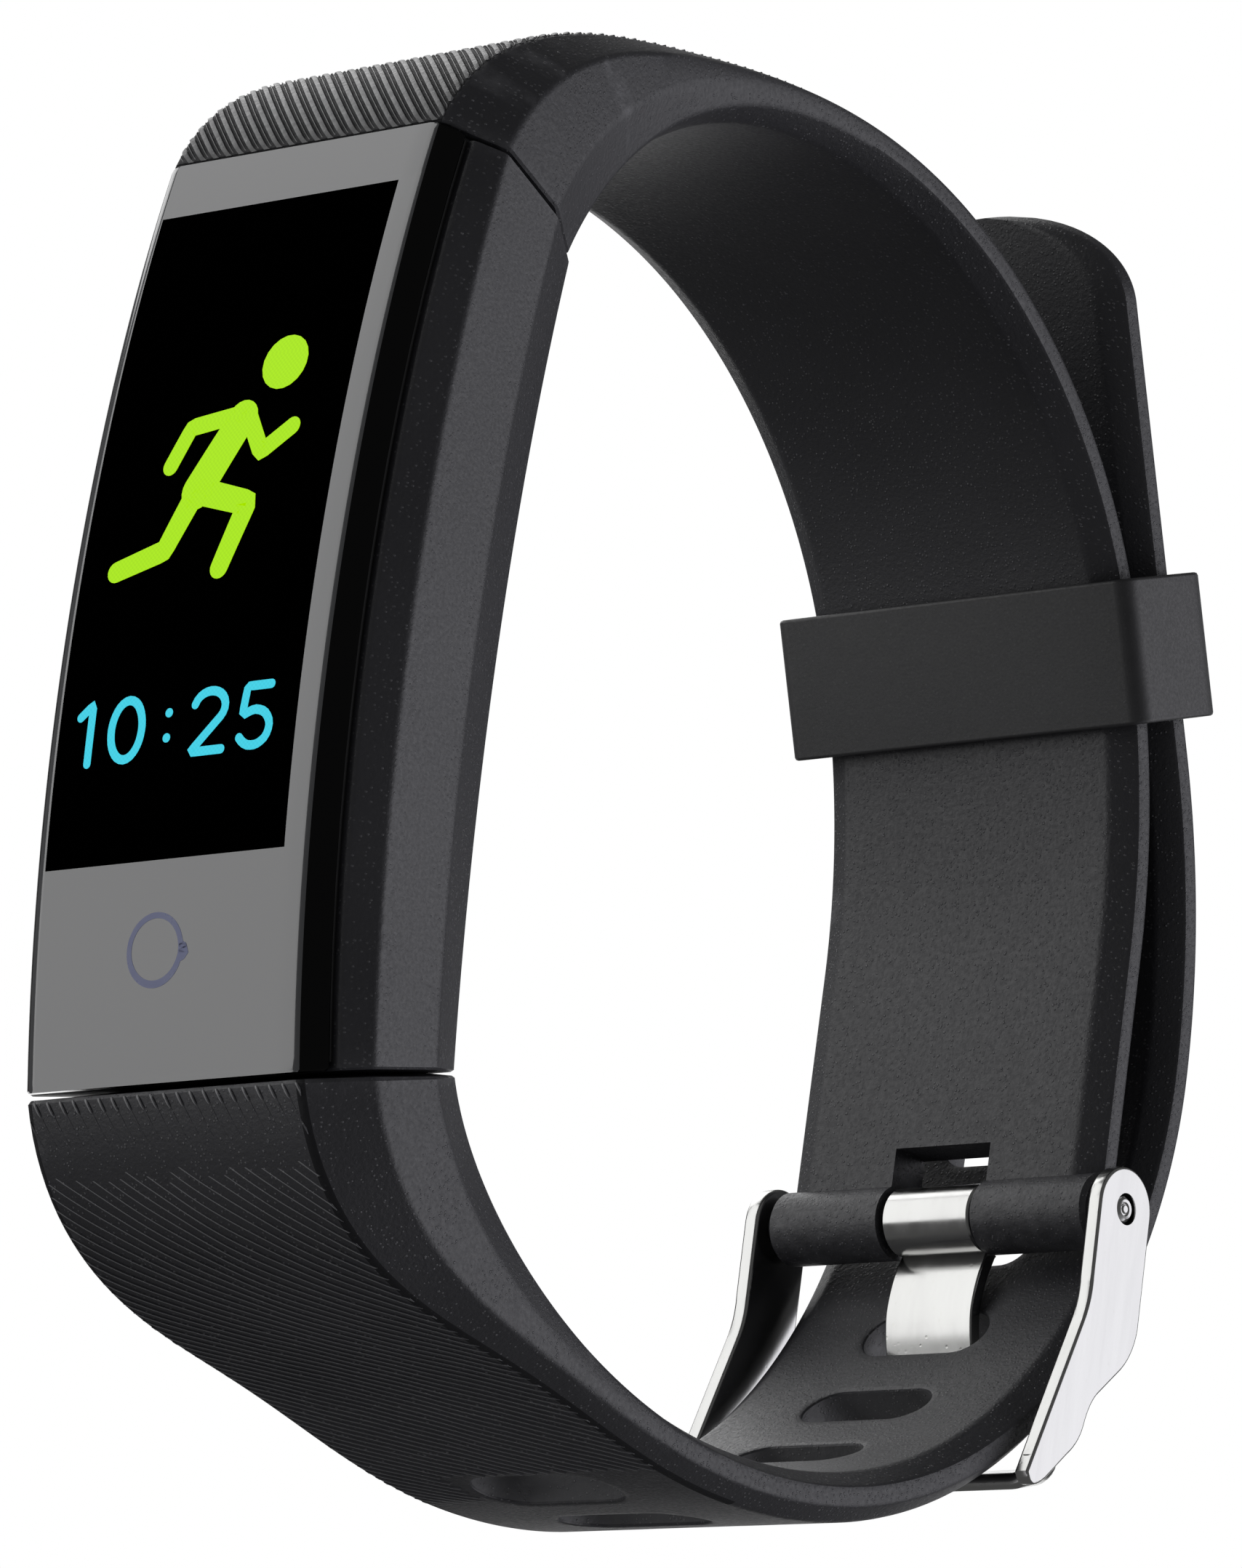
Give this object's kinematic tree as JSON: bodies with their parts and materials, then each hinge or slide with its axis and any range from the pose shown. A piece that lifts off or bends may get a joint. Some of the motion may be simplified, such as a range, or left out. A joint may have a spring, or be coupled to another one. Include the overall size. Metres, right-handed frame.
{
  "type": "fitness tracker band",
  "caption": "Slim fitness tracker with a tall colour display module, two rubber half-straps, a pin buckle with prong and a keeper loop, closed as worn.",
  "frame": {"origin": "middle of the underside of the bounding box, where the closed loop stands on a table", "axes": "+X along the wrist axis, to the right when facing the display; the display faces -Y; +Z towards the display's top edge; the buckle is at +Y"},
  "size_m": [0.021, 0.0612, 0.0666],
  "materials": {
    "lens": "smoked glossy cover lens with a dark printed border",
    "adhesive": "black foam adhesive and seal",
    "display": "black colour display, lit pictogram and digits",
    "flex": "amber flexible circuit",
    "housing": "black polycarbonate, fine spark texture",
    "window": "dark infrared window, polished",
    "screw_steel": "plain steel",
    "board": "green solder mask",
    "chip": "black moulded chip",
    "cell": "foil pouch",
    "diode": "clear diode resin",
    "gold": "gold-plated contact",
    "strap_rubber": "matte black thermoplastic rubber, smooth with moulded ribs",
    "buckle_steel": "polished stainless steel, rounded edges"
  },
  "bodies": {
    "band": {"display_lens": "lens", "lens_adhesive": "adhesive", "display_panel": "display", "display_flex": "flex", "touch_key_pad": "flex", "middle_housing": "housing", "rear_cover": "housing", "rear_cover_gasket": "adhesive", "sensor_window": "window", "cover_screw_1": "screw_steel", "cover_screw_2": "screw_steel", "cover_screw_3": "screw_steel", "cover_screw_4": "screw_steel", "main_board": "board", "processor_chip": "chip", "memory_chip": "chip", "motion_sensor": "chip", "vibration_motor": "screw_steel", "battery_cell": "cell", "heart_sensor_board": "board", "heart_led_1": "diode", "heart_led_2": "diode", "heart_photodiode": "chip", "charging_tongue": "housing", "charging_contact_1": "gold", "charging_contact_2": "gold", "charging_contact_3": "gold", "charging_contact_4": "gold", "upper_strap": "strap_rubber", "lower_strap": "strap_rubber", "buckle_pin": "buckle_steel"},
    "keeper": {"strap_keeper": "strap_rubber"},
    "frame": {"buckle_frame": "buckle_steel"},
    "prong": {"buckle_prong": "buckle_steel"}
  },
  "joints": [
    {"name": "keeper_slide", "type": "hinge", "parent": "band", "child": "keeper", "pos_m": [0, -0.01227, 0.03165], "axis": [1, 0, 0], "range_deg": [-2.5, 2.5]},
    {"name": "frame_swing", "type": "hinge", "parent": "band", "child": "frame", "pos_m": [0, 0.02453, 0.01925], "axis": [1, 0, 0], "range_deg": [0, 100]},
    {"name": "prong_swing", "type": "hinge", "parent": "band", "child": "prong", "pos_m": [0, 0.02453, 0.01925], "axis": [1, 0, 0], "range_deg": [-100, 0]}
  ]
}
